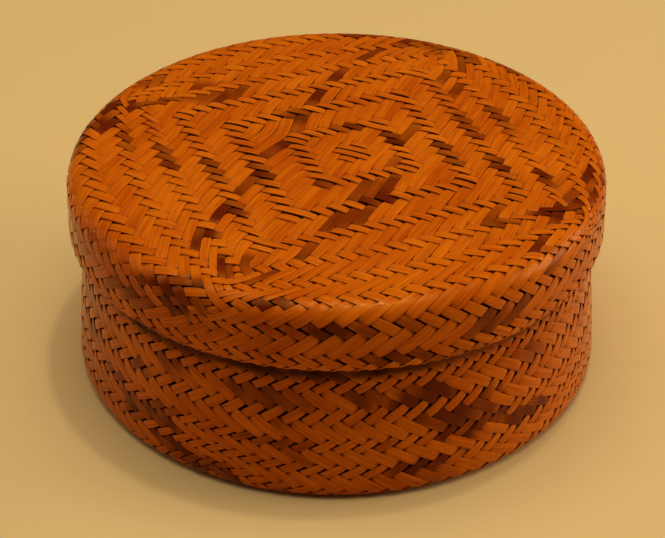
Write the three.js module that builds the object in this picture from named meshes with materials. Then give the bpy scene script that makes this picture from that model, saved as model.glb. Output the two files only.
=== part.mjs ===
// Lidded basket: a round box and a deep cap, both plaited of flat strips with double walls.
// Millimetres, +Z up. The origin is the centre of the underside, on the surface it stands on.
import * as THREE from "three";

// Outside of the lid at its lower edge
const LID_EDGE_RADIUS = 85.3;
// How much narrower the lid is where its side turns over into the top
const LID_TAPER = 0.4;
// From the lid's lower edge up to its flat top
const LID_DEPTH = 21.8;
// Rise of the top's middle above its outer ring
const LID_DOME = 1;

// From the table to the top of the box's rim
const BOX_HEIGHT = 67.2;
// The box's side stands out this far beyond its neck, which is the ring under the lid's edge
const BELLY_SWELL = 2.7;
const BELLY_HEIGHT = 22;
// The foot of the side stands out this far beyond the neck
const FOOT_SWELL = 3.9;
// Outside rounding between the underside and the side
const FOOT_ROUNDING = 4;

// One plaited layer is two strips thick
const LAYER_THICKNESS = 1.3;
// Air between the outer layer and the lining of a wall
const LAYER_GAP = 0.3;
// Height of the edge where the strips turn over from one layer into the other
const FOLD_HEIGHT = 3;
// Air between the end of a wall and its folded edge
const FOLD_GAP = 0.3;

// The lid slides over the box with this much room all round
const SLIP_CLEARANCE = 1.8;
// The closed lid's ceiling stands this far above the box's rim
const SEAT_CLEARANCE = 0.3;

// How finely the round shapes are divided
const STEPS_AROUND = 56;
const STEPS_PER_BEND = 5;
const STEPS_PER_SIDE = 7;
const STEPS_PER_TIP = 4;

// Sizes that follow from the driving ones
const WALL_THICKNESS = 2 * LAYER_THICKNESS + LAYER_GAP;
const LINING_DEPTH = LAYER_THICKNESS + LAYER_GAP;
const LID_SHOULDER_RADIUS = LID_EDGE_RADIUS - LID_TAPER;
const BOX_RIM_RADIUS = LID_SHOULDER_RADIUS - WALL_THICKNESS - SLIP_CLEARANCE;
const BOX_NECK_RADIUS = LID_EDGE_RADIUS - WALL_THICKNESS - SLIP_CLEARANCE;
const LID_TOP_HEIGHT = BOX_HEIGHT + SEAT_CLEARANCE + WALL_THICKNESS;
const LID_EDGE_HEIGHT = LID_TOP_HEIGHT - LID_DEPTH;
// The bend is centred above the middle of the box's wall, so the rim clears it all round
const LID_SHOULDER_BEND = WALL_THICKNESS + SLIP_CLEARANCE + WALL_THICKNESS / 2;

// Points on a quarter turn: x is the distance from the axis, y the height
function bendPoints(centreRadius, centreHeight, bend, startAngle, endAngle) {
  const points = [];
  for (let step = 0; step <= STEPS_PER_BEND; step += 1) {
    const angle = startAngle + ((endAngle - startAngle) * step) / STEPS_PER_BEND;
    const radius = centreRadius + bend * Math.cos(angle);
    points.push(new THREE.Vector2(radius, centreHeight + bend * Math.sin(angle)));
  }
  return points;
}

// Moves a line square to itself, to the left of its direction, with mitred corners
function offsetLine(points, distance) {
  return points.map((point, index) => {
    const before = points[Math.max(index - 1, 0)];
    const after = points[Math.min(index + 1, points.length - 1)];
    const arriving = point.clone().sub(before).normalize();
    const leaving = after.clone().sub(point).normalize();
    if (index === 0) arriving.copy(leaving);
    if (index === points.length - 1) leaving.copy(arriving);
    const along = arriving.clone().add(leaving).normalize();
    const left = new THREE.Vector2(-along.y, along.x);
    const mitre = Math.abs(along.dot(leaving));
    const moved = point.clone().addScaledVector(left, distance / mitre);
    if (point.x === 0) moved.set(0, point.y + distance * Math.sign(left.y));
    return moved;
  });
}

// Turns a closed section into a ring or shell about the Z axis
function turned(section) {
  const geometry = new THREE.LatheGeometry(section, STEPS_AROUND);
  geometry.rotateX(Math.PI / 2);
  return geometry;
}

// One layer of a wall, between two depths under the surface line
function layerGeometry(surface, outerDepth, innerDepth) {
  const outer = offsetLine(surface, outerDepth);
  const inner = offsetLine(surface, innerDepth).reverse();
  const section = [...outer, ...inner];
  if (section[0].x !== 0) section.push(section[0].clone());
  return turned(section);
}

// The folded edge of a double wall: a ring with a flat foot and a round tip
function foldGeometry(outerRadius, footHeight, tipHeight) {
  const halfWidth = WALL_THICKNESS / 2;
  const middleRadius = outerRadius - halfWidth;
  const upward = Math.sign(tipHeight - footHeight);
  const bendHeight = tipHeight - upward * halfWidth;
  const section = [new THREE.Vector2(outerRadius, footHeight)];
  for (let step = 0; step <= STEPS_PER_TIP; step += 1) {
    const angle = (Math.PI * step) / STEPS_PER_TIP;
    const radius = middleRadius + halfWidth * Math.cos(angle);
    const height = bendHeight + upward * halfWidth * Math.sin(angle);
    section.push(new THREE.Vector2(radius, height));
  }
  section.push(new THREE.Vector2(outerRadius - WALL_THICKNESS, footHeight));
  section.push(section[0].clone());
  if (upward < 0) section.reverse();
  return turned(section);
}

// The box's outer surface, from the middle of the underside up to the foot of its folded rim
function boxSurface() {
  const footRadius = BOX_NECK_RADIUS + FOOT_SWELL;
  const wallTop = BOX_HEIGHT - FOLD_HEIGHT - FOLD_GAP;
  const foot = bendPoints(footRadius - FOOT_ROUNDING, FOOT_ROUNDING, FOOT_ROUNDING, -Math.PI / 2, 0);
  const side = new THREE.SplineCurve([
    new THREE.Vector2(footRadius, FOOT_ROUNDING),
    new THREE.Vector2(BOX_NECK_RADIUS + BELLY_SWELL, BELLY_HEIGHT),
    new THREE.Vector2(BOX_NECK_RADIUS, LID_EDGE_HEIGHT),
    new THREE.Vector2(BOX_RIM_RADIUS, wallTop),
  ]);
  return [new THREE.Vector2(0, 0), ...foot, ...side.getPoints(STEPS_PER_SIDE).slice(1)];
}

// The lid's outer surface, from the foot of its folded edge up to the middle of the top
function lidSurface() {
  const bendRadius = LID_SHOULDER_RADIUS - LID_SHOULDER_BEND;
  const bendHeight = LID_TOP_HEIGHT - LID_SHOULDER_BEND;
  const wallFoot = LID_EDGE_HEIGHT + FOLD_HEIGHT + FOLD_GAP;
  return [
    new THREE.Vector2(LID_EDGE_RADIUS, wallFoot),
    ...bendPoints(bendRadius, bendHeight, LID_SHOULDER_BEND, 0, Math.PI / 2),
    new THREE.Vector2(0, LID_TOP_HEIGHT + LID_DOME),
  ];
}

function plaitMaterial(color, roughness) {
  return new THREE.MeshStandardMaterial({ color, roughness, metalness: 0 });
}

function addPiece(parent, name, geometry, material) {
  const piece = new THREE.Mesh(geometry, material);
  piece.name = name;
  parent.add(piece);
}

const basket = new THREE.Group();

// The box: outer plait, lining and the rim where the strips fold over from one to the other
const box = new THREE.Group();
basket.add(box);
const boxLine = boxSurface();
addPiece(
  box,
  "box_outer_plait",
  layerGeometry(boxLine, 0, LAYER_THICKNESS),
  plaitMaterial(0xb4560f, 0.45),
);
addPiece(
  box,
  "box_lining",
  layerGeometry(boxLine, LINING_DEPTH, WALL_THICKNESS),
  plaitMaterial(0xa8642a, 0.6),
);
addPiece(
  box,
  "box_rim_fold",
  foldGeometry(BOX_RIM_RADIUS, BOX_HEIGHT - FOLD_HEIGHT, BOX_HEIGHT),
  plaitMaterial(0xbb5f14, 0.45),
);

// The lid: the same double plait, turned over at its lower edge
const lid = new THREE.Group();
basket.add(lid);
const lidLine = lidSurface();
addPiece(
  lid,
  "lid_outer_plait",
  layerGeometry(lidLine, 0, LAYER_THICKNESS),
  plaitMaterial(0xc8661a, 0.42),
);
addPiece(
  lid,
  "lid_lining",
  layerGeometry(lidLine, LINING_DEPTH, WALL_THICKNESS),
  plaitMaterial(0xa8642a, 0.6),
);
addPiece(
  lid,
  "lid_rim_fold",
  foldGeometry(LID_EDGE_RADIUS, LID_EDGE_HEIGHT + FOLD_HEIGHT, LID_EDGE_HEIGHT),
  plaitMaterial(0xc8661a, 0.42),
);

export default basket;
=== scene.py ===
import math

import bpy
import numpy as np
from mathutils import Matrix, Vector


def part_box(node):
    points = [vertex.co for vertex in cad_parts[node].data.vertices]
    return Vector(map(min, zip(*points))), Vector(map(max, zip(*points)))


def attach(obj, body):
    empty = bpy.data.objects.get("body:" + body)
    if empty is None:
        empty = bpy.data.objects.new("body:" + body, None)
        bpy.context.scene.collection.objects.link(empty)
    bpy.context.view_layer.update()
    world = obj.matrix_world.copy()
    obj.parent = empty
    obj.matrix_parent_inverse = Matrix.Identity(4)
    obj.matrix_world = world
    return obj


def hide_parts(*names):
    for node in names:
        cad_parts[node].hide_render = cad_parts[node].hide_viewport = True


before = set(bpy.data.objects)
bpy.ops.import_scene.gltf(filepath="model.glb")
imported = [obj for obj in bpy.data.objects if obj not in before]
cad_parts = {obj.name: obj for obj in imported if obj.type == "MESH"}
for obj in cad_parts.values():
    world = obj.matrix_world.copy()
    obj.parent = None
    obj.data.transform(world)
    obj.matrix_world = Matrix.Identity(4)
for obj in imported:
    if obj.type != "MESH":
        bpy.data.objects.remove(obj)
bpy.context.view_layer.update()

scene = bpy.context.scene
scene.view_settings.view_transform = "Standard"

# The camera looks down at about 35 degrees on the basket, from the front.
# Its distance and direction are the photograph's, and a small shift sets the basket in the picture.
CAMERA_HEIGHT_ANGLE = math.radians(34.87)
CAMERA_DISTANCE = 0.6749
CAMERA_AIM_HEIGHT = 0.02125
CAMERA_LENS = 111.45
CAMERA_SHIFT_X = -0.0062
CAMERA_SHIFT_Y = 0.0195

camera_data = bpy.data.cameras.new("camera")
camera_data.lens = CAMERA_LENS
camera_data.shift_x = CAMERA_SHIFT_X
camera_data.shift_y = CAMERA_SHIFT_Y
camera = bpy.data.objects.new("camera", camera_data)
camera_rise = CAMERA_DISTANCE * math.sin(CAMERA_HEIGHT_ANGLE)
camera_back = CAMERA_DISTANCE * math.cos(CAMERA_HEIGHT_ANGLE)
camera.location = (0, -camera_back, CAMERA_AIM_HEIGHT + camera_rise)
camera.rotation_euler = (math.radians(90) - CAMERA_HEIGHT_ANGLE, 0, 0)
scene.collection.objects.link(camera)
scene.camera = camera

# The table: a plain pale cream floor, wide enough to fill the picture.
# It curves up behind the basket as a studio backdrop does, and takes the basket's soft shadow.
FLOOR_COLOUR = (0.66, 0.445, 0.162, 1)
FLOOR_ROUGHNESS = 0.8
FLOOR_HALF_WIDTH = 3.0
FLOOR_FRONT = -3.0
FLOOR_BACK = 2.2
FLOOR_BEND = 0.8
FLOOR_RISE = 2.4
FLOOR_BEND_STEPS = 12

floor_line = [(FLOOR_FRONT, 0.0)]
for step in range(FLOOR_BEND_STEPS + 1):
    turn = math.radians(90) * step / FLOOR_BEND_STEPS
    bend_back = FLOOR_BACK + FLOOR_BEND * math.sin(turn)
    floor_line.append((bend_back, FLOOR_BEND * (1 - math.cos(turn))))
floor_line.append((FLOOR_BACK + FLOOR_BEND, FLOOR_RISE))
floor_points = []
floor_faces = []
for index, (back, up) in enumerate(floor_line):
    floor_points += [(-FLOOR_HALF_WIDTH, back, up), (FLOOR_HALF_WIDTH, back, up)]
    if index:
        before = 2 * index - 2
        floor_faces.append((before, before + 1, before + 3, before + 2))
floor_mesh = bpy.data.meshes.new("floor")
floor_mesh.from_pydata(floor_points, [], floor_faces)
floor_mesh.shade_smooth()
floor = bpy.data.objects.new("floor", floor_mesh)
scene.collection.objects.link(floor)
floor_material = bpy.data.materials.new("floor paint")
floor_material.use_nodes = True
floor_shader = floor_material.node_tree.nodes["Principled BSDF"]
floor_shader.inputs["Base Color"].default_value = FLOOR_COLOUR
floor_shader.inputs["Roughness"].default_value = FLOOR_ROUGHNESS
floor_mesh.materials.append(floor_material)

# The light: a broad lamp and a small one overhead, and one on each side, all of them warm.
# The lid's top is lit, the side facing the viewer lies in soft shade, and shadows fall both ways.
LAMP_COLOUR = (1.0, 0.93, 0.82)
LAMPS = {
    "lamp overhead": {"place": (0.0, 0.0, 1.5), "size": 1.5, "power": 16.7},
    "small lamp overhead": {"place": (0.15, 0.10, 1.5), "size": 0.08, "power": 3.6},
    "lamp right": {"place": (1.3, 0.1, 0.48), "size": 0.9, "power": 10.2},
    "lamp left": {"place": (-1.2, 0.1, 0.75), "size": 1.3, "power": 3.3},
}
WORLD_COLOUR = (1.0, 0.88, 0.66, 1)
WORLD_STRENGTH = 0.05

for lamp_name, lamp in LAMPS.items():
    light = bpy.data.lights.new(lamp_name, "AREA")
    light.shape = "DISK"
    light.size = lamp["size"]
    light.energy = lamp["power"]
    light.color = LAMP_COLOUR
    lamp_object = bpy.data.objects.new(lamp_name, light)
    lamp_object.location = lamp["place"]
    lamp_object.rotation_euler = (-lamp_object.location).to_track_quat("-Z", "Y").to_euler()
    scene.collection.objects.link(lamp_object)

world = bpy.data.worlds.new("studio")
world.use_nodes = True
world.node_tree.nodes["Background"].inputs["Color"].default_value = WORLD_COLOUR
world.node_tree.nodes["Background"].inputs["Strength"].default_value = WORLD_STRENGTH
scene.world = world

# The lid's outer layer: 40 split cane strips each way, plaited over three and under two, so that
# squares stand one inside the other on the top and bands of slanting floats go round the side.
# Each strip starts at one edge, climbs the side, crosses the top and runs down to the other edge.
LINING_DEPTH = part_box("box_lining")[0].z
LAYER_THICKNESS = 0.0013
WALL_THICKNESS = LINING_DEPTH + LAYER_THICKNESS
HALF_WALL = WALL_THICKNESS / 2
LID_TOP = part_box("lid_outer_plait")[1].z
LID_EDGE_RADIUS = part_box("lid_rim_fold")[1].x
LID_EDGE_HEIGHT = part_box("lid_rim_fold")[0].z
LID_FOLD_CENTRE = (LID_EDGE_RADIUS - HALF_WALL, LID_EDGE_HEIGHT + HALF_WALL)
LID_TAPER = 0.0004
LID_DOME = 0.001
LID_DOME_STEPS = 30
LID_SHOULDER_BEND = 0.00615
LID_BEND_RADIUS = LID_EDGE_RADIUS - LID_TAPER - LID_SHOULDER_BEND
LID_BEND_HEIGHT = LID_TOP - LID_DOME - LID_SHOULDER_BEND
BEND_POINT_SPACING = 0.0003
FEWEST_BEND_POINTS = 4
TAIL_ROOM = 0.015

# A strip is flat with rounded edges. It swings up and down about a line that lies at a depth
# under the wall's surface: part of that swing is the slope between crossings, and part is the
# arch of a float.
STRIP_THICKNESS = 0.0005
STRIP_CORNERS = 8
STRIP_ROUNDNESS = 0.30
STRIP_CRISP_ANGLE = math.radians(45)
STRIP_LAYER_DEPTH = 0.00066
STRIP_SWING = 0.00030
SLOPE_SHARE = 0.75
ARCH_SHARE = 0.4
CROSSING_SLOPE = 0.9

# How much of its room a strip fills: on long floats, on short floats by ring, and less where it
# dips. The room is measured a quarter of a strip to the side.
LONG_FLOAT_SHARE = 1.03
SHORT_FLOAT_RINGS = (14, 22, 30, 36)
SHORT_FLOAT_SHARES = (0.72, 0.88, 0.88, 0.83)
PINCH_UNDER = 0.16
STRIP_WIDTH_LIMIT = 0.0042
STRIP_SHARE_LIMITS = (0.60, 1.04)
SPACING_PROBE = 0.25

# The unevenness of hand work: how much of each kind, and its shortest and longest waves in steps
WAVES_IN_PLAY = 3
SIDEWAYS_PLAY_SHARE = 0.04
SIDEWAYS_WAVES = (5, 24)
HEIGHT_PLAY = 0.00004
HEIGHT_WAVES = (4, 18)
WIDTH_PLAY_SHARE = 0.03
WIDTH_WAVES = (6, 30)
DARK_EVENNESS = 0.85
DARK_PLAY = 0.45
DARK_WAVES = (4, 15)
TONE_MIDDLE = 0.55
TONE_PLAY_OF_STRIPS = 0.13
TONE_FARTHEST = 2
TONE_PLAY_ALONG = 0.08
TONE_WAVES = (8, 40)

# A point of the plait is u strips from the middle one way and v strips the other way. Strips
# along run in u and strips across run in v, and a step leads from one crossing to the next.
# On a ring u and v have the same sum, counted without their signs. The reach of a ring is its
# distance from the middle, measured along the surface at the middle of a square's side.
LID_STRIPS = 40
LID_RINGS = (0, 6.5, 11.5, 16.5, 21.5, 26.5, 31.5, 36.5, 39, 41.5, 44, 49)
LID_REACHES = (
    0, 0.0146, 0.0293, 0.0422, 0.0542, 0.0657, 0.0768, 0.0887, 0.0949, 0.1001, 0.1049, 0.1153,
)
WAYS = ("along", "across")
SAMPLES_PER_STEP = 12
EASING_SAMPLES = 26
STRIP_SEED_OFFSET = 100
TINY = 1e-6

# The folded edge is on the edge ring, and the strips' ends run on past it. The long floats turn
# at each quarter as far as the switch ring, and beyond it they all slant the same way.
LID_EDGE_RING = 44
LID_SWITCH_RING = 35
TAIL_RINGS = 5
TWILL_REPEAT = 5
LONG_FLOAT = 3

# The rings are square in the middle of the top and round at the edge. The squares stand a little
# to the right of the middle, the inner ones more so, and towards the shoulder that shift fades.
FIRST_CORNER_ANGLE = math.radians(65)
QUARTER_TURN = math.radians(90)
SQUARE_RINGS = (0, 16.5, 21.5, 26.5, 31.5, 36.5, 41.5, 44)
SQUARE_SHARES = (1, 1, 0.80, 0.55, 0.30, 0.10, 0.02, 0)
LID_MIDDLE = (0.0053, 0)
LID_MIDDLE_OUTSIDE = (0.0031, 0)
LID_MIDDLE_EASES = (0.010, 0.040)
LID_MIDDLE_FADES = (0.066, 0.086)

# Strips split from darker cane: way, first and last strip, first and last step, and how dark.
# Past 1 there are fewer paler places left in them.
LID_DARK_STRIPS = (
    ("along", -15.5, -15.5, -7, -1, 0.75),
    ("along", -8.5, -7.5, -42, -33, 0.70),
    ("along", -6.5, -6.5, 19, 26, 0.60),
    ("along", -5.5, -5.5, -38, -25, 0.65),
    ("along", -5.5, -5.5, -7, -1, 1.40),
    ("along", -5.5, -4.5, -13, -6, 0.80),
    ("along", -4.5, -4.5, -36, -28, 0.75),
    ("along", -4.5, -4.5, -8, -2, 1.00),
    ("along", -4.5, -4.5, -3, 2, 0.65),
    ("along", -4.5, -4.5, 12, 27, 0.80),
    ("along", -3.5, -3.5, -38, -2, 0.85),
    ("along", -3.5, -3.5, 2, 9, 0.65),
    ("along", -3.5, -3.5, 22, 33, 0.95),
    ("along", -2.5, -2.5, 14, 19, 0.95),
    ("along", -2.5, -1.5, -43, -39, 0.70),
    ("along", -2.5, 5.5, 20, 33, 0.62),
    ("along", 0.5, 0.5, -24, -17, 0.85),
    ("along", 1.5, 1.5, -43, -33, 0.80),
    ("along", 2.5, 2.5, -42, -36, 1.20),
    ("along", 2.5, 3.5, -43, -27, 0.90),
    ("along", 2.5, 3.5, -36, -31, 1.20),
    ("along", 2.5, 3.5, -23, -18, 1.10),
    ("along", 3.5, 3.5, -31, -25, 1.10),
    ("along", 4.5, 4.5, -34, -30, 0.70),
    ("along", 5.5, 5.5, -32, -26, 0.60),
    ("along", 5.5, 5.5, -16, -5, 1.10),
    ("along", 6.5, 6.5, -21, -14, 1.00),
    ("along", 6.5, 6.5, -6, 24, 0.95),
    ("along", 6.5, 10.5, -28, -22, 1.20),
    ("along", 10.5, 12.5, 20, 24, 0.50),
    ("along", 13.5, 17.5, 1, 8, 0.80),
    ("across", -19.5, -19.5, -20, -14, 0.55),
    ("across", -19.5, -19.5, 13, 18, 0.80),
    ("across", -16.5, -16.5, 3, 8, 0.85),
    ("across", -12.5, -11.5, 2, 8, 0.85),
    ("across", -9.5, -9.5, -24, -20, 0.60),
    ("across", -8.5, -7.5, 3, 26, 0.70),
    ("across", -6.5, -6.5, -8, 21, 0.85),
    ("across", -6.5, -5.5, -9, -2, 1.05),
    ("across", -6.5, -5.5, 2, 9, 1.15),
    ("across", -5.5, -4.5, -20, -13, 0.95),
    ("across", -2.5, -2.5, 2, 6, 0.60),
    ("across", -2.5, -1.5, 25, 32, 0.60),
    ("across", -2.5, 0.5, -33, -17, 1.00),
    ("across", 1.5, 2.5, -43, -34, 0.85),
    ("across", 1.5, 2.5, 17, 34, 1.00),
    ("across", 2.5, 2.5, -16, -6, 0.60),
    ("across", 3.5, 3.5, -44, -28, 0.75),
    ("across", 3.5, 4.5, -20, 9, 0.90),
    ("across", 3.5, 4.5, -7, 2, 1.20),
    ("across", 3.5, 4.5, 23, 33, 1.15),
    ("across", 7.5, 10.5, -43, -36, 0.80),
    ("across", 7.5, 12.5, -13, -5, 0.60),
)
DARK_EASE = 2.0


def smooth_ramp(share):
    """Rises from 0 to 1 with a soft start and a soft end."""
    share = np.clip(share, 0, 1)
    return share * share * (3 - 2 * share)


def curve_through(stations, values, wanted):
    """A smooth curve through the values at their stations, read at the wanted places."""
    stations = np.asarray(stations, float)
    values = np.asarray(values, float)
    slopes = np.gradient(values, stations)
    wanted = np.clip(wanted, stations[0], stations[-1])
    left = np.clip(np.searchsorted(stations, wanted, side="right") - 1, 0, len(stations) - 2)
    span = stations[left + 1] - stations[left]
    share = (wanted - stations[left]) / span
    from_left = (1 + 2 * share) * (1 - share) ** 2 * values[left]
    from_right = share**2 * (3 - 2 * share) * values[left + 1]
    left_slope = share * (1 - share) ** 2 * span * slopes[left]
    right_slope = share**2 * (share - 1) * span * slopes[left + 1]
    return from_left + from_right + left_slope + right_slope


def relaxed(values, reach):
    """Eases the bends of an evenly sampled line with a moving average that keeps its ends."""
    window = np.hanning(2 * reach + 3)[1:-1]
    before = 2 * values[0] - values[reach:0:-1]
    after = 2 * values[-1] - values[-2 : -reach - 2 : -1]
    lengthened = np.concatenate([before, values, after])
    return np.convolve(lengthened, window / window.sum(), mode="valid")


def bend_points(centre, radius, start, end):
    """Points on a bend round a centre, from one angle to another in degrees."""
    length = abs(math.radians(end - start)) * radius
    count = max(FEWEST_BEND_POINTS, math.ceil(length / BEND_POINT_SPACING))
    angles = np.radians(np.linspace(start, end, count))
    return [(centre[0] + radius * math.cos(a), centre[1] + radius * math.sin(a)) for a in angles]


def lid_wall_points(depth):
    """The lid from the middle of its top to the foot of its shoulder, at a depth inside it."""
    middle = LID_TOP - depth
    shares = np.arange(LID_DOME_STEPS) / LID_DOME_STEPS
    points = [(LID_BEND_RADIUS * share, middle - LID_DOME * share**2) for share in shares]
    bend_centre = (LID_BEND_RADIUS, LID_BEND_HEIGHT)
    return points + bend_points(bend_centre, LID_SHOULDER_BEND - depth, 90, 0)


def wall_line(name, points):
    """A layer's surface as a line from the axis outwards, for the node tree to wrap strips on."""
    curve = bpy.data.curves.new(name, "CURVE")
    curve.dimensions = "3D"
    spline = curve.splines.new("POLY")
    spline.points.add(len(points) - 1)
    for place, (radius, height) in zip(spline.points, points):
        place.co = (radius, 0, height, 1)
    line = bpy.data.objects.new(name, curve)
    scene.collection.objects.link(line)
    stations = np.array(points)
    lengths = np.append(0, np.cumsum(np.linalg.norm(np.diff(stations, axis=0), axis=1)))
    return {"object": line, "lengths": lengths, "radii": stations[:, 0]}


def ring_and_turn(plait, u, v):
    """Which ring a point of the plait is on, how many quarters round it, and in which quarter."""
    ring = np.abs(u) + np.abs(v)
    quarter = np.where(v >= 0, np.where(u >= 0, 0, 1), np.where(u < 0, 2, 3))
    drift = np.choose(quarter, [v - u, -u - v, u - v, u + v])
    turn = quarter + (drift / np.clip(ring, TINY, plait["strips"] / 2) + 1) / 2
    return ring, turn, quarter


def flat_place(plait, u, v):
    """Where a point of the plait lies when the layer is spread out flat round its middle."""
    ring, turn, _ = ring_and_turn(plait, u, v)
    side = np.floor(turn)
    share = 2 * (turn - side) - 1
    facing = FIRST_CORNER_ANGLE + QUARTER_TURN * (side + 0.5)
    reach = curve_through(plait["rings"], plait["reaches"], ring)
    square = np.interp(ring, SQUARE_RINGS, SQUARE_SHARES)
    angle = facing + QUARTER_TURN / 2 * share
    square_x = np.cos(facing) - np.sin(facing) * share
    square_y = np.sin(facing) + np.cos(facing) * share
    x = reach * (square * square_x + (1 - square) * np.cos(angle))
    y = reach * (square * square_y + (1 - square) * np.sin(angle))
    eases, fades = plait["middle_eases"], plait["middle_fades"]
    inside = smooth_ramp((eases[1] - reach) / (eases[1] - eases[0]))
    kept = smooth_ramp((fades[1] - reach) / (fades[1] - fades[0]))
    middle, outside = plait["middle"], plait["middle_outside"]
    x += kept * (outside[0] + inside * (middle[0] - outside[0]))
    y += kept * (outside[1] + inside * (middle[1] - outside[1]))
    return x, y


def runs_clockwise(way, quarter):
    """True where a strip turns clockwise, seen from above, on its way outwards."""
    return (quarter % 2 == 0) == (way == "along")


def floats_long(plait, way, u, v):
    """True where a strip is of the set that floats over three, False where it floats over two."""
    ring, turn, quarter = ring_and_turn(plait, u, v)
    clockwise = runs_clockwise(way, quarter)
    side = np.floor(turn + TINY).astype(int)
    long_inside = clockwise == (side % 2 == 0)
    long_outside = clockwise == plait["long_floats_clockwise"]
    return np.where(ring < plait["switch_ring"] - 0.5, long_inside, long_outside)


def lies_over(plait, way, u, v):
    """+1 where a strip passes over the strip that it crosses, -1 where it passes under."""
    ring = ring_and_turn(plait, u, v)[0]
    place_in_twill = (np.rint(ring).astype(int) - plait["edge_ring"] + 1) % TWILL_REPEAT
    return np.where(floats_long(plait, way, u, v) == (place_in_twill < LONG_FLOAT), 1.0, -1.0)


def plait_place(way, index, steps):
    """The steps along one strip as places u and v of the plait."""
    still = np.full_like(steps, index)
    return (steps, still) if way == "along" else (still, steps)


def eased_place(plait, way, index, steps):
    """The steps along one strip as places on the flat layer, with the corners eased."""
    x, y = flat_place(plait, *plait_place(way, index, steps))
    return relaxed(x, EASING_SAMPLES), relaxed(y, EASING_SAMPLES)


def over_and_under(plait, way, index, steps):
    """+1 over and -1 under at each crossing, with an even slope from one to the next."""
    last = math.floor(steps[-1])
    crossings = np.arange(-last, last) + 0.5
    over = lies_over(plait, way, *plait_place(way, index, crossings))
    before = np.clip(np.floor(steps - crossings[0]).astype(int), 0, len(crossings) - 2)
    crossed = smooth_ramp((steps - crossings[before] - 0.5) / CROSSING_SLOPE + 0.5)
    return over[before] + (over[before + 1] - over[before]) * crossed


def darkness(plait, way, index, steps):
    """How dark one strip is along its way, after the plait's table of dark strips."""
    dark = np.zeros_like(steps)
    for dark_way, first, last, start, end, strength in plait["dark_strips"]:
        if dark_way == way and first <= index <= last:
            eased = smooth_ramp((steps - start) / DARK_EASE) * smooth_ramp((end - steps) / DARK_EASE)
            dark = np.maximum(dark, strength * eased)
    return dark


def waver(rng, steps, lengths):
    """A slow, even wandering about zero, as hand work has, from a few random waves."""
    total = np.zeros_like(steps)
    for length in rng.uniform(*lengths, WAVES_IN_PLAY):
        total += np.sin(steps * 2 * math.pi / length + rng.uniform(0, 2 * math.pi))
    return total / WAVES_IN_PLAY


def strip_course(plait, way, index):
    """The middle line of one strip, from edge to edge, and what varies along it."""
    strip_seed = int(2 * index + STRIP_SEED_OFFSET)
    rng = np.random.default_rng([plait["seed"], way == "along", strip_seed])
    count = int((plait["edge_ring"] + TAIL_RINGS - abs(index)) * SAMPLES_PER_STEP)
    steps = np.arange(-count, count + 1) / SAMPLES_PER_STEP
    x, y = eased_place(plait, way, index, steps)
    beside = index + SPACING_PROBE * np.sign(index)
    x_beside, y_beside = eased_place(plait, way, beside, steps)

    # How far apart strips of this set lie here, flat and then wrapped on the surface
    ahead_x, ahead_y = np.gradient(x), np.gradient(y)
    ahead = np.hypot(ahead_x, ahead_y)
    gap_x, gap_y = (x_beside - x) / SPACING_PROBE, (y_beside - y) / SPACING_PROBE
    flat_spacing = np.abs(ahead_x * gap_y - ahead_y * gap_x) / ahead
    reach = np.hypot(x, y)
    radius = np.interp(reach, plait["line"]["lengths"], plait["line"]["radii"])
    squeeze = radius / np.maximum(reach, TINY)
    outwards = (ahead_x * x + ahead_y * y) / reach / ahead
    shortening = np.sqrt(outwards**2 + squeeze**2 * (1 - outwards**2))
    spacing = flat_spacing * squeeze / shortening
    sideways = SIDEWAYS_PLAY_SHARE * flat_spacing * waver(rng, steps, SIDEWAYS_WAVES)
    x, y = x - ahead_y / ahead * sideways, y + ahead_x / ahead * sideways

    over = over_and_under(plait, way, index, steps)
    sunk = (1 - over) / 2
    swing = SLOPE_SHARE * over + ARCH_SHARE * relaxed(over, SAMPLES_PER_STEP)
    lift = STRIP_SWING * swing + HEIGHT_PLAY * waver(rng, steps, HEIGHT_WAVES)

    # Long floats lie edge to edge, short ones leave a slit, and a strip is squeezed where it dips
    u, v = plait_place(way, index, steps)
    ring, _, quarter = ring_and_turn(plait, u, v)
    long = relaxed(floats_long(plait, way, u, v).astype(float), SAMPLES_PER_STEP)
    short_share = np.interp(ring, SHORT_FLOAT_RINGS, SHORT_FLOAT_SHARES)
    share = short_share + (LONG_FLOAT_SHARE - short_share) * long
    share = share * (1 - PINCH_UNDER * relaxed(sunk, SAMPLES_PER_STEP // 2))
    share = share * (1 + WIDTH_PLAY_SHARE * (rng.normal() + waver(rng, steps, WIDTH_WAVES)))
    share = np.clip(np.minimum(share, STRIP_WIDTH_LIMIT / spacing), *STRIP_SHARE_LIMITS)

    dark = darkness(plait, way, index, steps)
    dark = dark * (DARK_EVENNESS + DARK_PLAY * waver(rng, steps, DARK_WAVES))
    own_tone = np.clip(rng.normal(), -TONE_FARTHEST, TONE_FARTHEST)
    tone = TONE_MIDDLE + TONE_PLAY_OF_STRIPS * own_tone
    tone = tone + TONE_PLAY_ALONG * waver(rng, steps, TONE_WAVES)
    return {
        "place": np.stack([x, y, np.zeros_like(x)], axis=1),
        "ring": ring,
        "clockwise": runs_clockwise(way, quarter),
        "breadth": share * flat_spacing,
        "lift": lift,
        "along": np.append(0, np.cumsum(np.hypot(np.diff(x), np.diff(y)))),
        "tone": tone,
        "strip": np.full_like(steps, rng.uniform()),
        "dark": np.clip(dark, 0, 1),
        "sunk": sunk,
    }


# Where the strips of the outer layer start and end, in rings past the edge: first those that
# turn clockwise there, then the others. Each goes on to where it dips under for the last time.
OUTER_STRETCH = {"starts": (-math.inf, -math.inf), "ends": (-2.1, 0)}
OUTER_SAMPLING = 3
CARRIED = ("breadth", "lift", "along", "tone", "strip", "dark", "sunk")
FEWEST_GUIDE_POINTS = 3


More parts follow.
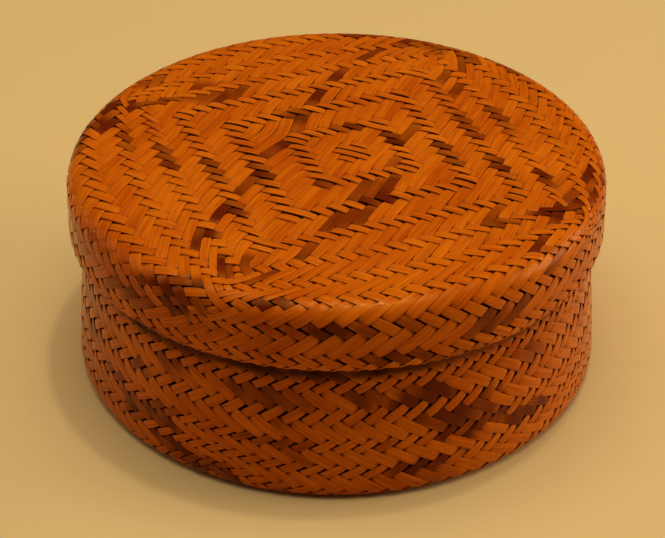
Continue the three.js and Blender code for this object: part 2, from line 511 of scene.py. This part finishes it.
def guide_lines(name, plait, way, stretch, sampling, side=0):
    """The middle lines of a set of strips as a mesh of edges, for one stretch of each strip.

    Every few samples make a point. A side of -1 or 1 takes the strips of that half alone.
    """
    places = []
    edges = []
    carried = {attribute: [] for attribute in CARRIED}
    first = 0
    for number in range(plait["strips"]):
        index = number - plait["strips"] / 2 + 0.5
        if index * side < 0:
            continue
        course = strip_course(plait, way, index)
        past_edge = course["ring"] - plait["edge_ring"]
        keep = past_edge >= np.where(course["clockwise"], *stretch["starts"])
        keep &= past_edge <= np.where(course["clockwise"], *stretch["ends"])
        sample_numbers = np.arange(len(keep)) % SAMPLES_PER_STEP
        sampled = sample_numbers % sampling == SAMPLES_PER_STEP // 2 % sampling
        bounds = np.flatnonzero(np.diff(np.concatenate([[0], keep.astype(int), [0]])))
        for start, end in zip(bounds[::2], bounds[1::2]):
            chosen = np.arange(start, end)[sampled[start:end]]
            if len(chosen) < FEWEST_GUIDE_POINTS:
                continue
            places.append(course["place"][chosen])
            numbers = np.arange(first, first + len(chosen))
            edges.append(np.stack([numbers[:-1], numbers[1:]], axis=1))
            first += len(chosen)
            for attribute in CARRIED:
                carried[attribute].append(course[attribute][chosen])
    mesh = bpy.data.meshes.new(name)
    mesh.from_pydata(np.concatenate(places).tolist(), np.concatenate(edges).tolist(), [])
    for attribute in CARRIED:
        layer = mesh.attributes.new(attribute, "FLOAT", "POINT")
        layer.data.foreach_set("value", np.concatenate(carried[attribute]).astype(np.float32))
    return mesh


def add_node(tree, kind, inputs, **settings):
    """Adds a node with its settings, and links or sets each of its inputs."""
    made = tree.nodes.new(kind)
    for setting, value in settings.items():
        setattr(made, setting, value)
    for socket, value in inputs.items():
        if isinstance(value, bpy.types.NodeSocket):
            tree.links.new(value, made.inputs[socket])
        else:
            made.inputs[socket].default_value = value
    return made


def add_math(tree, operation, first, second=0.0, kind="ShaderNodeMath"):
    """The result of an operation on one or two values, or on vectors with the vector kind."""
    return add_node(tree, kind, {0: first, 1: second}, operation=operation).outputs[0]


def add_range(tree, value, old_range, new_range, **settings):
    """Scales a value from one range to another, and holds it at the ends of the new one."""
    inputs = {"Value": value, 1: old_range[0], 2: old_range[1], 3: new_range[0], 4: new_range[1]}
    return add_node(tree, "ShaderNodeMapRange", inputs, **settings).outputs[0]


def named_value(tree, attribute):
    """What a guide line carries from point to point, for the node tree."""
    kind = "GeometryNodeInputNamedAttribute"
    return add_node(tree, kind, {"Name": attribute}, data_type="FLOAT").outputs["Attribute"]


def rounded_off(tree, value, roundness):
    """Moves a corner of a circle out towards the square round it, most at a low roundness."""
    size = add_math(tree, "POWER", add_math(tree, "ABSOLUTE", value), roundness)
    return add_math(tree, "MULTIPLY", add_math(tree, "SIGN", value), size)


def strip_tree():
    """Gives each guide line the section of a split cane strip, and wraps it on the wall."""
    tree = bpy.data.node_groups.new("cane strips on a wall", "GeometryNodeTree")
    sizes = ("Strip Thickness", "Strip Roundness", "Layer Depth", "Crisp Angle", "Facing")
    sockets = tree.interface
    sockets.new_socket("Guide Lines", in_out="INPUT", socket_type="NodeSocketGeometry")
    sockets.new_socket("Wall Line", in_out="INPUT", socket_type="NodeSocketObject")
    for size in sizes:
        sockets.new_socket(size, in_out="INPUT", socket_type="NodeSocketFloat")
    sockets.new_socket("Cane", in_out="INPUT", socket_type="NodeSocketMaterial")
    sockets.new_socket("Strips", in_out="OUTPUT", socket_type="NodeSocketGeometry")
    given = tree.nodes.new("NodeGroupInput").outputs
    position = add_node(tree, "GeometryNodeInputPosition", {}).outputs[0]

    # The section: a flat oval, its corners stored as shares of half its width and height
    inputs = {"Resolution": STRIP_CORNERS, "Radius": 1.0}
    circle = add_node(tree, "GeometryNodeCurvePrimitiveCircle", inputs).outputs["Curve"]
    inputs = {"Geometry": circle, "Rotation": (0, 0, math.radians(180 / STRIP_CORNERS))}
    turned = add_node(tree, "GeometryNodeTransform", inputs).outputs[0]
    corner = add_node(tree, "ShaderNodeSeparateXYZ", {0: position}).outputs
    across = rounded_off(tree, corner["X"], given["Strip Roundness"])
    rise = rounded_off(tree, corner["Y"], given["Strip Roundness"])
    placed = add_node(tree, "ShaderNodeCombineXYZ", {"X": across, "Y": rise}).outputs[0]
    inputs = {"Geometry": turned, "Position": placed}
    section = add_node(tree, "GeometryNodeSetPosition", inputs).outputs[0]
    for attribute, value in (("across", corner["X"]), ("rise", corner["Y"])):
        inputs = {"Geometry": section, "Name": attribute, "Value": value}
        stored = add_node(tree, "GeometryNodeStoreNamedAttribute", inputs, data_type="FLOAT")
        section = stored.outputs[0]

    # The strips, still flat
    courses = add_node(tree, "GeometryNodeMeshToCurve", {0: given["Guide Lines"]}).outputs[0]
    courses = add_node(tree, "GeometryNodeSetCurveNormal", {0: courses}, mode="Z_UP").outputs[0]
    half_breadth = add_math(tree, "MULTIPLY", named_value(tree, "breadth"), 0.5)
    inputs = {"Curve": courses, "Profile Curve": section, "Scale": half_breadth, "Fill Caps": True}
    flat = add_node(tree, "GeometryNodeCurveToMesh", inputs).outputs[0]

    # Each point's distance from the middle becomes its distance along the wall line
    on_plan = add_math(tree, "MULTIPLY", position, (1, 1, 0), kind="ShaderNodeVectorMath")
    reach = add_node(tree, "ShaderNodeVectorMath", {0: on_plan}, operation="LENGTH")
    outwards = add_node(tree, "ShaderNodeVectorMath", {0: on_plan}, operation="NORMALIZE").outputs[0]
    line = add_node(tree, "GeometryNodeObjectInfo", {"Object": given["Wall Line"]})
    inputs = {"Curves": line.outputs["Geometry"], "Length": reach.outputs["Value"]}
    on_line = add_node(tree, "GeometryNodeSampleCurve", inputs, mode="LENGTH").outputs
    foot = add_node(tree, "ShaderNodeSeparateXYZ", {0: on_line["Position"]}).outputs
    course = add_node(tree, "ShaderNodeSeparateXYZ", {0: on_line["Tangent"]}).outputs
    half_thickness = add_math(tree, "MULTIPLY", given["Strip Thickness"], 0.5)
    above = add_math(tree, "MULTIPLY", named_value(tree, "rise"), half_thickness)
    above = add_math(tree, "SUBTRACT", named_value(tree, "lift"), above)
    above = add_math(tree, "SUBTRACT", above, given["Layer Depth"])
    above = add_math(tree, "MULTIPLY", above, given["Facing"])
    radius = add_math(tree, "SUBTRACT", foot["X"], add_math(tree, "MULTIPLY", course["Z"], above))
    height = add_math(tree, "ADD", foot["Z"], add_math(tree, "MULTIPLY", course["X"], above))
    inputs = {0: outwards, "Scale": radius}
    sideways = add_node(tree, "ShaderNodeVectorMath", inputs, operation="SCALE").outputs[0]
    upwards = add_node(tree, "ShaderNodeCombineXYZ", {"Z": height}).outputs[0]
    place = add_math(tree, "ADD", sideways, upwards, kind="ShaderNodeVectorMath")
    inputs = {"Geometry": flat, "Position": place}
    wrapped = add_node(tree, "GeometryNodeSetPosition", inputs).outputs[0]

    # Faces point outwards on both sides of a wall, and only the edges of a strip's ends are sharp
    inputs = {0: given["Facing"], 1: 0.0}
    inside_out = add_node(tree, "FunctionNodeCompare", inputs, operation="LESS_THAN").outputs[0]
    wrapped = add_node(tree, "GeometryNodeFlipFaces", {0: wrapped, 1: inside_out}).outputs[0]
    smooth = add_node(tree, "GeometryNodeSetShadeSmooth", {0: wrapped}).outputs[0]
    fold_angle = add_node(tree, "GeometryNodeInputMeshEdgeAngle", {}).outputs["Unsigned Angle"]
    crisp = add_math(tree, "GREATER_THAN", fold_angle, given["Crisp Angle"])
    inputs = {"Geometry": smooth, "Selection": crisp, "Shade Smooth": False}
    smooth = add_node(tree, "GeometryNodeSetShadeSmooth", inputs, domain="EDGE").outputs[0]
    real = add_node(tree, "GeometryNodeRealizeInstances", {0: smooth}).outputs[0]
    inputs = {"Geometry": real, "Material": given["Cane"]}
    dressed = add_node(tree, "GeometryNodeSetMaterial", inputs).outputs[0]
    add_node(tree, "NodeGroupOutput", {"Strips": dressed})
    return tree


cane_strips = strip_tree()


def plaited_piece(name, guides, plait, cane, body, nodes):
    """Runs the node tree on a set of guide lines and keeps its result as a plain mesh."""
    piece = bpy.data.objects.new(name, guides)
    scene.collection.objects.link(piece)
    tree_modifier = piece.modifiers.new("strips", "NODES")
    tree_modifier.node_group = cane_strips
    values = {
        "Wall Line": plait["line"]["object"],
        "Strip Thickness": STRIP_THICKNESS,
        "Strip Roundness": STRIP_ROUNDNESS,
        "Layer Depth": STRIP_LAYER_DEPTH,
        "Crisp Angle": STRIP_CRISP_ANGLE,
        "Facing": plait["facing"],
        "Cane": cane,
    }
    for item in cane_strips.interface.items_tree:
        if item.in_out == "INPUT" and item.name in values:
            tree_modifier[item.identifier] = values[item.name]
    graph = bpy.context.evaluated_depsgraph_get()
    made = bpy.data.meshes.new_from_object(
        piece.evaluated_get(graph), preserve_all_data_layers=True, depsgraph=graph
    )
    piece.modifiers.clear()
    piece.data = made
    made.name = name
    bpy.data.meshes.remove(guides)
    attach(piece, body)
    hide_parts(*nodes)


# The cane: long fibres and broader streaks run along each strip, and patches change the colour
# from place to place. A pattern's rates say how fast it changes along and across a strip, and
# the spread gives every strip a place of its own in the pattern.
FIBRES_ACROSS = 7.0
FIBRE_LENGTH = 0.011
FIBRE_PATTERNS = {
    "Fibres": {"rate_along": 1.0, "rate_across": 1.0, "detail": 3.0},
    "Streaks": {"rate_along": 0.4, "rate_across": 0.22, "detail": 2.0},
}
FIBRE_ROUGHNESS = 0.55
PATTERN_SPREAD = 997.0
PATCH_SCALE = 38.0
PATCH_DETAIL = 3.0


def strip_value(tree, attribute):
    """What a finished strip carries from point to point, for its material."""
    return add_node(tree, "ShaderNodeAttribute", {}, attribute_name=attribute).outputs["Fac"]


def fibre_group():
    """The fine lines along a split strip, and slow changes of colour along it."""
    group = bpy.data.node_groups.new("cane fibres", "ShaderNodeTree")
    for name in ("Fibres Across", "Fibre Length"):
        group.interface.new_socket(name, in_out="INPUT", socket_type="NodeSocketFloat")
    for name in ("Fibres", "Streaks", "Patches"):
        group.interface.new_socket(name, in_out="OUTPUT", socket_type="NodeSocketFloat")
    given = group.nodes.new("NodeGroupInput").outputs
    along = add_math(group, "DIVIDE", strip_value(group, "along"), given["Fibre Length"])
    across = add_math(group, "MULTIPLY", strip_value(group, "across"), given["Fibres Across"])
    apart = add_math(group, "MULTIPLY", strip_value(group, "strip"), PATTERN_SPREAD)
    found = {}
    for name, pattern in FIBRE_PATTERNS.items():
        pattern_along = add_math(group, "MULTIPLY", along, pattern["rate_along"])
        pattern_across = add_math(group, "MULTIPLY", across, pattern["rate_across"])
        inputs = {"X": pattern_along, "Y": pattern_across, "Z": apart}
        place = add_node(group, "ShaderNodeCombineXYZ", inputs).outputs[0]
        inputs = {"Vector": place, "Scale": 1.0, "Detail": pattern["detail"]}
        inputs["Roughness"] = FIBRE_ROUGHNESS
        found[name] = add_node(group, "ShaderNodeTexNoise", inputs).outputs["Fac"]
    coordinates = add_node(group, "ShaderNodeTexCoord", {}).outputs["Object"]
    inputs = {"Vector": coordinates, "Scale": PATCH_SCALE, "Detail": PATCH_DETAIL}
    found["Patches"] = add_node(group, "ShaderNodeTexNoise", inputs).outputs["Fac"]
    add_node(group, "NodeGroupOutput", found)
    return group


cane_fibres = fibre_group()

# How the patterns change the colour of a strip, and where grime and painted shade lie: along its
# edges and where it dips under another, standing in for the shade of the slits, and on its
# underside, painted dark so that holes show dark. Each range of a pattern is paired with its effect.
FULL_RANGE = (0.0, 1.0)
STREAK_RANGE = (0.3, 0.7)
STREAK_TONES = (-0.35, 0.35)
PATCH_RANGE = (0.35, 0.65)
PATCH_TONES = (-0.22, 0.22)
FIBRE_RANGE = (0.30, 0.62)
FIBRE_SHADES = (0.72, 1.08)
EDGE_RANGE = (0.85, 1.0)
EDGE_GRIME_AND_SHADE = (0.0, 0.06)
DIP_RANGE = (0.35, 0.90)
UNDERSIDE_RANGE = (0.2, 0.8)


def cane_colour_group():
    """A strip's own colour between aged and fresh, with dark strips, and grime and painted shade
    where it dips, along its edges, on its underside and in a band.
    """
    group = bpy.data.node_groups.new("cane colour", "ShaderNodeTree")
    for name in ("Fresh Colour", "Aged Colour", "Dark Colour", "Grime And Shade Colour"):
        group.interface.new_socket(name, in_out="INPUT", socket_type="NodeSocketColor")
    for name in ("GrimeAndShade", "LidEdgeShade", "Fibres", "Streaks", "Patches"):
        group.interface.new_socket(name, in_out="INPUT", socket_type="NodeSocketFloat")
    group.interface.new_socket("Colour", in_out="OUTPUT", socket_type="NodeSocketColor")
    group.interface.new_socket("Grime And Shade", in_out="OUTPUT", socket_type="NodeSocketFloat")
    given = group.nodes.new("NodeGroupInput").outputs

    def blend(factor, first, second, way="MIX"):
        # Sockets 6 and 7 take the two colours, and output 2 gives the blended one
        inputs = {"Factor": factor, 6: first, 7: second}
        return add_node(group, "ShaderNodeMix", inputs, data_type="RGBA", blend_type=way).outputs[2]

    streaks = add_range(group, given["Streaks"], STREAK_RANGE, STREAK_TONES)
    patches = add_range(group, given["Patches"], PATCH_RANGE, PATCH_TONES)
    tone = add_math(group, "ADD", strip_value(group, "tone"), streaks)
    tone = add_range(group, add_math(group, "ADD", tone, patches), FULL_RANGE, FULL_RANGE)
    colour = blend(tone, given["Aged Colour"], given["Fresh Colour"])
    colour = blend(strip_value(group, "dark"), colour, given["Dark Colour"])
    lines = add_range(group, given["Fibres"], FIBRE_RANGE, FIBRE_SHADES)
    lines = add_node(group, "ShaderNodeCombineColor", {0: lines, 1: lines, 2: lines}).outputs[0]
    colour = blend(1.0, colour, lines, "MULTIPLY")
    # Grime and painted shade: darker along the edges and where a strip dips under another, standing
    # in for the shade in the slits, and painted shade on the underside so that holes show dark.
    from_middle = add_math(group, "ABSOLUTE", strip_value(group, "across"))
    edge = add_range(group, from_middle, EDGE_RANGE, EDGE_GRIME_AND_SHADE)
    dip = add_range(group, strip_value(group, "sunk"), DIP_RANGE, FULL_RANGE)
    underside = add_range(group, strip_value(group, "rise"), UNDERSIDE_RANGE, FULL_RANGE)
    grime_and_shade = add_math(group, "MULTIPLY", add_math(group, "MAXIMUM", dip, edge), given["GrimeAndShade"])
    grime_and_shade = add_math(group, "MAXIMUM", grime_and_shade, underside)
    grime_and_shade = add_math(group, "MAXIMUM", grime_and_shade, given["LidEdgeShade"])
    colour = blend(grime_and_shade, colour, given["Grime And Shade Colour"])
    add_node(group, "NodeGroupOutput", {"Colour": colour, "Grime And Shade": grime_and_shade})
    return group


cane_colours = cane_colour_group()

# Painted shade lies on the box just under the lid's edge, where the lid's shadow falls on it. It is
# thickest in the middle of its band and has gone at the band's reach, and the patches of the cane
# make it uneven.
LID_EDGE_SHADE_HEIGHT = LID_EDGE_HEIGHT - 0.003
LID_EDGE_SHADE_REACH = 0.004
LID_EDGE_SHADE_EASE = (1.0, 0.2)
LID_EDGE_SHADE_PATCHES = 2.0


def lid_edge_shade_group():
    """Painted shade in a level band round a wall, more in some places than in others."""
    group = bpy.data.node_groups.new("painted shade under the lid edge", "ShaderNodeTree")
    for name in ("Band Height", "Band Reach", "Shade Strength", "Patches"):
        group.interface.new_socket(name, in_out="INPUT", socket_type="NodeSocketFloat")
    group.interface.new_socket("LidEdgeShade", in_out="OUTPUT", socket_type="NodeSocketFloat")
    given = group.nodes.new("NodeGroupInput").outputs
    place = add_node(group, "ShaderNodeTexCoord", {}).outputs["Object"]
    height = add_node(group, "ShaderNodeSeparateXYZ", {0: place}).outputs["Z"]
    away = add_math(group, "ABSOLUTE", add_math(group, "SUBTRACT", height, given["Band Height"]))
    away = add_math(group, "DIVIDE", away, given["Band Reach"])
    near = add_range(group, away, LID_EDGE_SHADE_EASE, FULL_RANGE, interpolation_type="SMOOTHSTEP")
    patches = add_math(group, "MULTIPLY", given["Patches"], LID_EDGE_SHADE_PATCHES)
    painted_band_shade = add_math(group, "MULTIPLY", add_math(group, "MULTIPLY", near, patches), given["Shade Strength"])
    add_node(group, "NodeGroupOutput", {"LidEdgeShade": painted_band_shade})
    return group


lid_edge_shade = lid_edge_shade_group()

# The gloss of cane is weak and golden. Streaks, grime and painted shade dull it, and its fibres
# stand out a little.
CANE_SPECULAR = 0.16
CANE_SHEEN_TINT = (1.0, 0.60, 0.12, 1)
STREAK_DULLNESS = (-0.07, 0.09)
FIBRE_BUMP_STRENGTH = 0.35
FIBRE_BUMP_DEPTH = 0.00012


def cane_material(name, colours, grime_and_shade_amount, roughness, lid_edge_shade_strength=0.0):
    """Split cane in the given colours, duller where it is streaked and matt where grime and painted
    shade darken it.
    """
    material = bpy.data.materials.new(name)
    material.use_nodes = True
    tree = material.node_tree
    shader = tree.nodes["Principled BSDF"]
    inputs = {"Fibres Across": FIBRES_ACROSS, "Fibre Length": FIBRE_LENGTH}
    fibres = add_node(tree, "ShaderNodeGroup", inputs, node_tree=cane_fibres).outputs
    inputs = {
        "Band Height": LID_EDGE_SHADE_HEIGHT,
        "Band Reach": LID_EDGE_SHADE_REACH,
        "Shade Strength": lid_edge_shade_strength,
        "Patches": fibres["Patches"],
    }
    band = add_node(tree, "ShaderNodeGroup", inputs, node_tree=lid_edge_shade).outputs
    inputs = dict(colours, GrimeAndShade=grime_and_shade_amount, LidEdgeShade=band["LidEdgeShade"])
    for pattern in ("Fibres", "Streaks", "Patches"):
        inputs[pattern] = fibres[pattern]
    colour = add_node(tree, "ShaderNodeGroup", inputs, node_tree=cane_colours).outputs
    tree.links.new(colour["Colour"], shader.inputs["Base Color"])
    gloss_range = [roughness + change for change in STREAK_DULLNESS]
    gloss = add_range(tree, fibres["Streaks"], STREAK_RANGE, gloss_range)
    matt = add_math(tree, "MAXIMUM", gloss, colour["Grime And Shade"])
    tree.links.new(matt, shader.inputs["Roughness"])
    inputs = {"Height": fibres["Fibres"]}
    inputs.update({"Strength": FIBRE_BUMP_STRENGTH, "Distance": FIBRE_BUMP_DEPTH})
    bump = add_node(tree, "ShaderNodeBump", inputs).outputs[0]
    tree.links.new(bump, shader.inputs["Normal"])
    shader.inputs["Specular IOR Level"].default_value = CANE_SPECULAR
    shader.inputs["Specular Tint"].default_value = CANE_SHEEN_TINT
    return material


OUTER_COLOURS = {
    "Fresh Colour": (0.63, 0.134, 0.003, 1),
    "Aged Colour": (0.43, 0.064, 0.001, 1),
    "Dark Colour": (0.125, 0.012, 0.001, 1),
    # The grime colour, near black, is also the colour of the painted shade in the slits, on the
    # undersides and under the lid's edge.
    "Grime And Shade Colour": (0.008, 0.001, 0.0005, 1),
}
# The outer cane takes the band of painted shade under the lid's edge.
outer_cane = cane_material("outer cane", OUTER_COLOURS, grime_and_shade_amount=1.0, roughness=0.17, lid_edge_shade_strength=0.75)

# The outer layer's line goes on round the fold and a little way up inside, for the strips' ends.
# A layer faces 1 or -1: its floats show to the left or to the right of its line.
lid_tail = (LID_EDGE_RADIUS - WALL_THICKNESS, LID_FOLD_CENTRE[1] + TAIL_ROOM)
lid_points = [*lid_wall_points(0), *bend_points(LID_FOLD_CENTRE, HALF_WALL, 0, -180), lid_tail]
lid_plait = {
    "strips": LID_STRIPS,
    "rings": LID_RINGS,
    "reaches": LID_REACHES,
    "edge_ring": LID_EDGE_RING,
    "switch_ring": LID_SWITCH_RING,
    "long_floats_clockwise": True,
    "middle": LID_MIDDLE,
    "middle_outside": LID_MIDDLE_OUTSIDE,
    "middle_eases": LID_MIDDLE_EASES,
    "middle_fades": LID_MIDDLE_FADES,
    "line": wall_line("lid surface", lid_points),
    "facing": 1.0,
    "dark_strips": LID_DARK_STRIPS,
    "seed": 11,
}
for way in WAYS:
    name = "lid_outer_strips_" + way
    guides = guide_lines(name, lid_plait, way, OUTER_STRETCH, OUTER_SAMPLING)
    plaited_piece(name, guides, lid_plait, outer_cane, "lid", ["lid_outer_plait"])

# The lid's folded edge: the same strips where they turn over the edge of the double wall and
# run on inside it. Slanting floats lie side by side on it and hide the strips that cross them.
# The turned-over ends go under the lining, which holds them.
FOLD_STRETCH = {"starts": (-2.6, -0.4), "ends": (2.6, 4.6)}
FOLD_SAMPLING = 2
FOLDED_COLOURS = {
    "Fresh Colour": (0.66, 0.155, 0.005, 1),
    "Aged Colour": (0.46, 0.08, 0.003, 1),
    "Dark Colour": (0.15, 0.017, 0.001, 1),
    # The grime colour is also the colour of painted shade in the slits and on the undersides.
    "Grime And Shade Colour": (0.02, 0.003, 0.001, 1),
}
folded_cane = cane_material("folded edge cane", FOLDED_COLOURS, grime_and_shade_amount=0.6, roughness=0.36)
for way in WAYS:
    name = "lid_fold_strips_" + way
    guides = guide_lines(name, lid_plait, way, FOLD_STRETCH, FOLD_SAMPLING)
    plaited_piece(name, guides, lid_plait, folded_cane, "lid", ["lid_rim_fold"])

# The lid's lining: the strips that come over the edge, plaited up the inside and across the
# ceiling. It lies against the outer layer, and its floats face inwards. It has seen less light
# and less handling than the outside, so it is paler and duller.
LINING_STRETCH = {"starts": (-math.inf, -math.inf), "ends": (-4.1, -2.1)}
LINING_SAMPLING = 4
LID_LINING_SAVING = 0.0046
LID_LINING_SAVING_RINGS = (24, 36)
LINING_COLOURS = {
    "Fresh Colour": (0.56, 0.25, 0.062, 1),
    "Aged Colour": (0.36, 0.115, 0.022, 1),
    "Dark Colour": (0.11, 0.022, 0.005, 1),
    # The grime colour is also the colour of painted shade in the slits and on the undersides.
    "Grime And Shade Colour": (0.06, 0.016, 0.006, 1),
}
lining_cane = cane_material("lining cane", LINING_COLOURS, grime_and_shade_amount=0.6, roughness=0.55)


def lining_reaches(plait, saving, saving_rings):
    """The lining's way from the middle to the edge is shorter than the outer layer's."""
    rings = np.array(plait["rings"])
    eased = smooth_ramp((rings - saving_rings[0]) / (saving_rings[1] - saving_rings[0]))
    return tuple(np.array(plait["reaches"]) - saving * eased)


lid_lining_points = lid_wall_points(WALL_THICKNESS)
lid_lining_points += bend_points(LID_FOLD_CENTRE, HALF_WALL, 180, 360)
lid_lining_plait = dict(
    lid_plait,
    reaches=lining_reaches(lid_plait, LID_LINING_SAVING, LID_LINING_SAVING_RINGS),
    line=wall_line("lid lining surface", lid_lining_points),
    long_floats_clockwise=False,
    facing=-1.0,
    seed=12,
)
for way in WAYS:
    name = "lid_lining_strips_" + way
    guides = guide_lines(name, lid_lining_plait, way, LINING_STRETCH, LINING_SAMPLING)
    plaited_piece(name, guides, lid_lining_plait, lining_cane, "lid", ["lid_lining"])

# The box's outer layer: 42 strips each way, plaited like the lid's from the middle of the
# underside, round the foot and up the side. The side swells at the belly and draws in at the
# neck, so that the lid's side stands flush with it.
BOX_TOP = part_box("box_rim_fold")[1].z
BOX_RIM_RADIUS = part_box("box_rim_fold")[1].x
BOX_FOLD_CENTRE = (BOX_RIM_RADIUS - HALF_WALL, BOX_TOP - HALF_WALL)
BOX_FOLD_HEIGHT = BOX_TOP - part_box("box_rim_fold")[0].z
BOX_FOLD_GAP = 0.0003
BOX_FOOT_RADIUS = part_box("box_outer_plait")[1].x
BOX_FOOT_ROUNDING = 0.004
BOX_NECK_SWELL = 0.0004
BOX_BELLY_SWELL = 0.0027
BOX_BELLY_HEIGHT = 0.022
BOX_SIDE_STEPS = 60
BOX_STRIPS = 42
BOX_RINGS = (0, 10, 20, 27.5, 35, 40, 45, 50, 55, 65, 70)
BOX_REACHES = (0, 0.0262, 0.0520, 0.0703, 0.0877, 0.0978, 0.1074, 0.1186, 0.1284, 0.1510, 0.1622)
BOX_EDGE_RING = 65
BOX_SWITCH_RING = 31
BOX_HALVES = (("front", -1), ("back", 1))
BOX_DARK_STRIPS = (
    ("along", -20.5, -19.5, -37, -32, 0.80),
    ("along", -18.5, -17.5, -21, -15, 0.60),
    ("along", -18.5, -15.5, -37, -29, 0.75),
    # This row is painted shade, not darker cane: the shadow under the lid's edge on the box's neck
    # at the front left.
    ("along", -15.5, -11.5, -46, -37, 0.80),
    ("along", -13.5, -13.5, -29, -24, 0.75),
    ("along", -10.5, -9.5, 36, 48, 0.80),
    ("along", -6.5, -5.5, -37, -31, 1.10),
    ("along", -5.5, -4.5, -29, -22, 1.00),
    ("along", -4.5, -3.5, -39, -25, 1.20),
    ("along", -4.5, -1.5, -48, -41, 0.70),
    ("along", -3.5, -3.5, -26, 14, 0.70),
    ("along", 2.5, 2.5, -42, -38, 0.50),
    ("along", 5.5, 8.5, -29, -22, 0.75),
    ("along", 6.5, 6.5, -27, 47, 0.60),
    ("along", 6.5, 9.5, -38, -31, 0.65),
    ("along", 12.5, 13.5, 25, 34, 0.75),
    ("along", 13.5, 14.5, -31, -22, 0.70),
    ("along", 17.5, 18.5, -31, -22, 0.80),
    ("across", -20.5, -18.5, -22, -15, 0.90),
    ("across", -20.5, -17.5, -28, -20, 1.30),
    ("across", -19.5, -17.5, 27, 35, 0.75),
    ("across", -8.5, -8.5, 5, 46, 0.60),
    ("across", -3.5, -2.5, 33, 42, 0.70),
    ("across", 0.5, 1.5, -56, -47, 0.85),
    ("across", 1.5, 4.5, -49, -38, 1.10),
    ("across", 3.5, 5.5, -39, -32, 1.20),
    ("across", 9.5, 9.5, -25, 20, 0.65),
    ("across", 9.5, 10.5, -43, -37, 0.80),
    ("across", 14.5, 15.5, 30, 44, 0.70),
)


def box_side_points(depth):
    """The side of the box from the foot's bend up to its folded rim, at a depth inside it."""
    neck_radius = BOX_RIM_RADIUS + BOX_NECK_SWELL
    stations = [
        (BOX_FOOT_RADIUS, BOX_FOOT_ROUNDING),
        (neck_radius + BOX_BELLY_SWELL, BOX_BELLY_HEIGHT),
        (neck_radius, LID_EDGE_HEIGHT),
        (BOX_RIM_RADIUS, BOX_TOP - BOX_FOLD_HEIGHT - BOX_FOLD_GAP),
    ]
    radii, heights = np.array(stations).T
    numbers = np.arange(len(stations))
    steps = np.linspace(0, len(stations) - 1, BOX_SIDE_STEPS)
    side_radii = curve_through(numbers, radii, steps)
    side_heights = curve_through(numbers, heights, steps)
    return [(radius - depth, height) for radius, height in zip(side_radii, side_heights)]


def box_wall_points(depth):
    """The box from the middle of its underside up to its folded rim, at a depth inside it."""
    bend_centre = (BOX_FOOT_RADIUS - BOX_FOOT_ROUNDING, BOX_FOOT_ROUNDING)
    foot = bend_points(bend_centre, BOX_FOOT_ROUNDING - depth, -90, 0)
    return [(0, depth), *foot, *box_side_points(depth)[1:]]


box_tail = (BOX_RIM_RADIUS - WALL_THICKNESS, BOX_FOLD_CENTRE[1] - TAIL_ROOM)
box_points = [*box_wall_points(0), *bend_points(BOX_FOLD_CENTRE, HALF_WALL, 0, 180), box_tail]
box_plait = dict(
    lid_plait,
    strips=BOX_STRIPS,
    rings=BOX_RINGS,
    reaches=BOX_REACHES,
    edge_ring=BOX_EDGE_RING,
    switch_ring=BOX_SWITCH_RING,
    middle=(0, 0),
    middle_outside=(0, 0),
    line=wall_line("box surface", box_points),
    facing=-1.0,
    dark_strips=BOX_DARK_STRIPS,
    seed=21,
)
for way in WAYS:
    for half, side in BOX_HALVES:
        name = "box_outer_strips_" + way + "_" + half
        guides = guide_lines(name, box_plait, way, OUTER_STRETCH, OUTER_SAMPLING, side)
        plaited_piece(name, guides, box_plait, outer_cane, "box", ["box_outer_plait"])

# The box's folded rim: the strips turn over the top of the double wall in the same way as on the
# lid. The lid covers it when the basket is shut.
for way in WAYS:
    name = "box_fold_strips_" + way
    guides = guide_lines(name, box_plait, way, FOLD_STRETCH, FOLD_SAMPLING)
    plaited_piece(name, guides, box_plait, folded_cane, "box", ["box_rim_fold"])

# The box's lining: the strips that come over the rim, plaited down the inside and across the
# floor, with their floats facing inwards.
BOX_LINING_SAVING = 0.0046
BOX_LINING_SAVING_RINGS = (15, 35)

box_lining_points = box_wall_points(WALL_THICKNESS)
box_lining_points += bend_points(BOX_FOLD_CENTRE, HALF_WALL, 180, 0)
box_lining_plait = dict(
    box_plait,
    reaches=lining_reaches(box_plait, BOX_LINING_SAVING, BOX_LINING_SAVING_RINGS),
    line=wall_line("box lining surface", box_lining_points),
    long_floats_clockwise=False,
    facing=1.0,
    seed=22,
)
for way in WAYS:
    for half, side in BOX_HALVES:
        name = "box_lining_strips_" + way + "_" + half
        guides = guide_lines(name, box_lining_plait, way, LINING_STRETCH, LINING_SAMPLING, side)
        plaited_piece(name, guides, box_lining_plait, lining_cane, "box", ["box_lining"])

# The wall lines were only there to wrap the strips on, so they go
for helper in [thing for thing in scene.objects if thing.type == "CURVE"]:
    bpy.data.objects.remove(helper)
